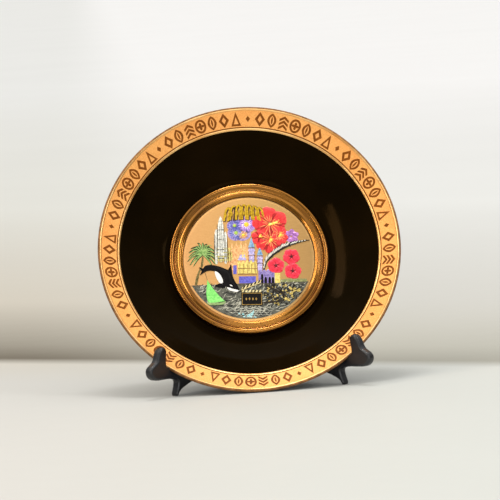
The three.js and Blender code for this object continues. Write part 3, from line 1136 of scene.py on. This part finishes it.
# The stand.
LEG_OUTLINE_RUNS = [
    [(5.2, 0), (12.4, 0)],
    [(12.4, 0), (13.2, 3.2), (15.8, 6.8), (21, 9.4), (30, 10.6), (44, 10.8), (55, 9.8), (62, 8.4),
     (69, 6.4), (75, 4.4), (78.4, 2.4), (80, 0)],
    [(80, 0), (81.6, 0)],
    [(81.6, 0), (81.9, 1.8), (81.0, 4.2), (80.0, 7.0), (79.8, 9.8), (82.4, 11.4), (88, 12.3), (95, 12.5),
     (101, 12.9), (104.4, 14.2), (106.4, 16.6), (106.8, 19.4), (105.4, 21.8), (102.8, 23.4), (100.6, 24.6)],
    [(100.6, 24.6), (99.2, 26.2), (98.2, 28.4), (97, 31), (94.9, 33.3), (92.3, 34), (90.2, 32.9),
     (89.4, 30.6), (90.1, 26), (90.4, 22.6), (89.4, 20.8), (84, 20.4)],
    [(84, 20.4), (33, 40.4)],
    [(33, 40.4), (23, 44)],
    [(23, 44), (20.2, 46.4), (16.4, 52.8), (12.4, 59.4), (10.8, 61.8), (9.2, 63.2), (7.4, 63.4), (6, 62.2),
     (5.2, 60.2)],
]
LEG_WINDOW = [(14.2, 29), (14.4, 36.2), (16.2, 38), (19, 36), (26, 30.4), (34, 25.4), (43, 21), (44.2, 19.2),
              (42, 18.1), (32, 17.8), (20, 17.8), (15.6, 19), (14.4, 23)]


def edge_distance(point, loops):
    """How far a point is from the nearest edge, and whether it is inside the outline and not in a hole."""
    x, y = point
    nearest, inside = 1e9, False
    for loop in loops:
        for (ax, ay), (bx, by) in zip(loop, loop[1:] + loop[:1]):
            dx, dy = bx - ax, by - ay
            share = max(0.0, min(1.0, ((x - ax) * dx + (y - ay) * dy) / (dx * dx + dy * dy)))
            nearest = min(nearest, math.hypot(x - ax - share * dx, y - ay - share * dy))
            if (ay > y) != (by > y) and x < ax + (y - ay) * dx / dy:
                inside = not inside
    return nearest, inside


def half_thickness(distance):
    """The rounded edge: thin at the outline, full thickness one rounding radius in."""
    inward = LEG_ROUNDING - min(distance, LEG_ROUNDING)
    return LEG_THICKNESS / 2 - LEG_ROUNDING + math.sqrt(LEG_ROUNDING ** 2 - inward ** 2)


def leg_points(loops):
    """The outline points, rows of points just inside them, and a coarse grid over the middle."""
    points = [point for loop in loops for point in loop]
    for depth in (0.18, 0.5, 1.0, 1.7, LEG_ROUNDING):
        for loop in loops:
            for (ax, ay), (bx, by) in zip(loop, loop[1:] + loop[:1]):
                along = Vector((bx - ax, by - ay)).normalized()
                for side in (-1, 1):
                    point = ((ax + bx) / 2 - side * along.y * depth, (ay + by) / 2 + side * along.x * depth)
                    distance, inside = edge_distance(point, loops)
                    if inside and distance > depth * 0.97:
                        points.append(point)
    for i in range(54):
        for j in range(33):
            point = (5 + 2 * i, 1 + 2 * j)
            distance, inside = edge_distance(point, loops)
            if inside and distance > LEG_ROUNDING + 0.6:
                points.append(point)
    return points


def leg_blank():
    """The leg's plate with rounded edges, in its own frame, its middle plane at Z = 0."""
    outline = []
    for run in LEG_OUTLINE_RUNS:
        outline += smooth(run, 4)[:-1]
    outline += [(5.2, 60.2 - 60.2 * i / 30) for i in range(30)]
    loops = [outline, rounded(LEG_WINDOW)]
    points = leg_points(loops)
    edges, start = [], 0
    for loop in loops:
        edges += [(start + i, start + (i + 1) % len(loop)) for i in range(len(loop))]
        start += len(loop)
    result = delaunay_2d_cdt([Vector(p) for p in points], edges, [], 0, 1e-5)
    flat = [tuple(p) for p in result[0]]
    inner_faces = []
    for face in result[2]:
        middle = (sum(flat[k][0] for k in face) / 3, sum(flat[k][1] for k in face) / 3)
        if edge_distance(middle, loops)[1]:
            inner_faces.append(list(face))
    shape = bmesh.new()
    sheets = [{}, {}]
    for k in sorted({k for face in inner_faces for k in face}):
        half = half_thickness(edge_distance(flat[k], loops)[0])
        for sheet, side in zip(sheets, (-1, 1)):
            sheet[k] = shape.verts.new((flat[k][0] * MM, flat[k][1] * MM, side * half * MM))
    borders = set()
    for face in inner_faces:
        for sheet in sheets:
            shape.faces.new([sheet[k] for k in face])
        for i in range(3):
            borders ^= {frozenset((face[i], face[(i + 1) % 3]))}
    for first, second in map(sorted, borders):
        shape.faces.new((sheets[0][first], sheets[0][second], sheets[1][second], sheets[1][first]))
    bmesh.ops.recalc_face_normals(shape, faces=shape.faces)
    return shape


def tube(shape, bottom, top):
    """A hinge knuckle with eased edges, round the pin, standing in the leg's own frame."""
    nearly = 0.15
    flat = KNUCKLE_RADIUS - KNUCKLE_EASE
    profile = [(PIN_BORE, bottom), (flat, bottom), (KNUCKLE_RADIUS - nearly, bottom + nearly),
               (KNUCKLE_RADIUS, bottom + KNUCKLE_EASE), (KNUCKLE_RADIUS, (bottom + top) / 2),
               (KNUCKLE_RADIUS, top - KNUCKLE_EASE), (KNUCKLE_RADIUS - nearly, top - nearly), (flat, top),
               (PIN_BORE, top)]
    steps = 40
    turns = [math.tau * i / steps for i in range(steps)]
    rings = []
    for radius, height in profile:
        points = [(radius * math.cos(a) * MM, height * MM, radius * math.sin(a) * MM) for a in turns]
        rings.append([shape.verts.new(point) for point in points])
    for low, high in zip(rings, rings[1:] + rings[:1]):
        for i in range(steps):
            j = (i + 1) % steps
            shape.faces.new((low[i], low[j], high[j], high[i]))


def web(shape, bottom, top, middle):
    """The block that joins a knuckle to the leg."""
    section = [(2.3, -1.9), (7.0, -1.9), (7.0, 1.7), (2.3, 1.7)]
    ends = []
    for height in (bottom + 0.25, top - 0.25):
        ends.append([shape.verts.new((x * MM, height * MM, (middle + z) * MM)) for x, z in section])
    for end in ends:
        shape.faces.new(end)
    for i in range(4):
        j = (i + 1) % 4
        shape.faces.new((ends[0][i], ends[0][j], ends[1][j], ends[1][i]))


def plate_clearance():
    """A solid a little larger than the plate, which the legs' seats are cut to."""
    back = [(0, -29.2), (38, -29.2), (39.5, -30.2), (40.5, -32.3), (41.4, -32.7), (45.6, -32.7), *BACK_DISH]
    grown = [(radius + (0.28 if radius else 0), height - SEAT_CLEARANCE) for radius, height in back]
    outer = PLATE_RADIUS + SEAT_CLEARANCE
    profile = grown + [(outer, -2.4), (outer, SEAT_CLEARANCE), (0, SEAT_CLEARANCE)]
    mesh = lathe_mesh("clearance", [(0, profile)], 144)
    mesh.transform(PLATE)
    return mesh


def cut_seat(mesh):
    """The same leg with the plate's clearance taken out of it."""
    objects = [linked("seat_helper", part) for part in (mesh, plate_clearance())]
    cut = objects[0].modifiers.new("seat", "BOOLEAN")
    cut.object = objects[1]
    cut.operation = "DIFFERENCE"
    cut.solver = "EXACT"
    bpy.context.view_layer.update()
    result = objects[0].evaluated_get(bpy.context.evaluated_depsgraph_get())
    out = bpy.data.meshes.new_from_object(result)
    for helper in objects:
        bpy.data.objects.remove(helper)
    return out


def leg(side, name, node, body, knuckles):
    shape = leg_blank()
    middle = -side * (GAP + LEG_THICKNESS / 2)
    bmesh.ops.translate(shape, verts=shape.verts, vec=(0, 0, middle * MM))
    blank = finished(shape, name)
    blank.transform(leg_pose(side))
    whole = bmesh.new()
    whole.from_mesh(cut_seat(blank))
    joined = bmesh.new()
    for bottom, top in knuckles:
        tube(joined, bottom, top)
        web(joined, bottom, top, -side * WEB_OFFSET)
    bmesh.ops.transform(joined, matrix=leg_pose(side), verts=joined.verts)
    bmesh.ops.recalc_face_normals(joined, faces=joined.faces)
    whole.from_mesh(finished(joined, "knuckles"))
    mesh = finished(whole, name)
    mesh.materials.clear()
    piece = add_object(name, mesh, [PLASTIC], Matrix.Identity(4), body, sharp=40)
    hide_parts(node)


def floor():
    bpy.ops.mesh.primitive_plane_add(size=60)
    ground = bpy.context.object
    ground.name = "floor"
    ground.data.materials.append(floor_look())


def lamp(name, size, power, colour=(1, 1, 1)):
    light = bpy.data.lights.new(name, "AREA")
    light.shape = "RECTANGLE"
    light.size, light.size_y = size
    light.energy = power
    light.color = colour
    return linked(name, light)


def area_light(name, place, target, size, power):
    holder = lamp(name, size, power)
    holder.location = place
    holder.rotation_euler = (Vector(target) - Vector(place)).to_track_quat("-Z", "Y").to_euler()


def strip_light(name, start, end, target, width, power):
    """A long narrow warm light between two points, facing the target."""
    start, end, target = Vector(start), Vector(end), Vector(target)
    middle = (start + end) / 2
    y_axis = (end - start).normalized()
    z_axis = (middle - target).normalized()
    x_axis = y_axis.cross(z_axis).normalized()
    z_axis = x_axis.cross(y_axis)
    holder = lamp(name, (width, (end - start).length), power, (1.0, 0.86, 0.7))
    holder.matrix_world = Matrix.Translation(middle) @ Matrix((x_axis, y_axis, z_axis)).transposed().to_4x4()


def studio():
    """A soft room, dark below and bright overhead, with four softboxes and a strip light."""
    world = bpy.data.worlds.new("studio")
    world.use_nodes = True
    nodes, links = world.node_tree.nodes, world.node_tree.links
    direction = nodes.new("ShaderNodeTexCoord")
    split = nodes.new("ShaderNodeSeparateXYZ")
    ramp = nodes.new("ShaderNodeValToRGB")
    links.new(direction.outputs["Generated"], split.inputs["Vector"])
    links.new(split.outputs["Z"], ramp.inputs["Fac"])
    levels = [(0.0, 0.2), (0.2, 0.28), (0.5, 0.55), (0.75, 0.9), (1.0, 2.2)]
    fill_ramp(ramp.color_ramp, [(where, (level, level * 0.985, level * 0.96, 1)) for where, level in levels])
    links.new(ramp.outputs["Color"], nodes["Background"].inputs["Color"])
    bpy.context.scene.world = world
    aim = (0, 0, 0.09)
    area_light("key", (0.95, -0.85, 1.0), aim, (0.3, 0.5), 4)
    area_light("left_fill", (-1.1, -1.6, 1.5), aim, (0.9, 0.6), 1.8)
    area_light("overhead", (0.0, -0.1, 1.3), aim, (0.34, 0.12), 4)
    area_light("front_fill", (0.1, -2.4, 0.55), (0, 0, 0.12), (1.5, 0.7), 13)
    strip_light("left_strip", (-1.02, -1.03, 0.45), (-0.84, -0.18, 1.32), aim, 0.1, 6)
    bpy.context.scene.view_settings.view_transform = "Standard"


def camera():
    level = math.cos(CAMERA_ABOVE)
    away = Vector((math.sin(CAMERA_AROUND) * level, -math.cos(CAMERA_AROUND) * level, math.sin(CAMERA_ABOVE)))
    target = Vector((0.0015, HINGE_Y, 0.08847))
    data = bpy.data.cameras.new("camera")
    data.lens = CAMERA_LENS
    data.clip_end = 100
    holder = linked("camera", data)
    right = (-away).cross(Vector((0, 0, 1))).normalized()
    up = right.cross(-away)
    x_axis = right * math.cos(CAMERA_ROLL) + up * math.sin(CAMERA_ROLL)
    y_axis = up * math.cos(CAMERA_ROLL) - right * math.sin(CAMERA_ROLL)
    turn = Matrix((x_axis, y_axis, away)).transposed().to_4x4()
    holder.matrix_world = Matrix.Translation(target + away * CAMERA_METRES) @ turn
    bpy.context.scene.camera = holder


PLASTIC = plastic_look()

camera()
studio()
floor()
plate()
bezel()
medallion()
picture()
leg(-1, "easel_leg_left", "stand_leg_left", "left_leg", KNUCKLES_LEFT)
leg(1, "easel_leg_right", "stand_leg_right", "right_leg", KNUCKLES_RIGHT)
inner_looks = [("hinge_pin", steel_look()), ("pin_cap", PLASTIC), ("adhesive_disc", adhesive_look())]
for node, look in inner_looks:
    frame["nodes"][node].material_slots[0].material = look
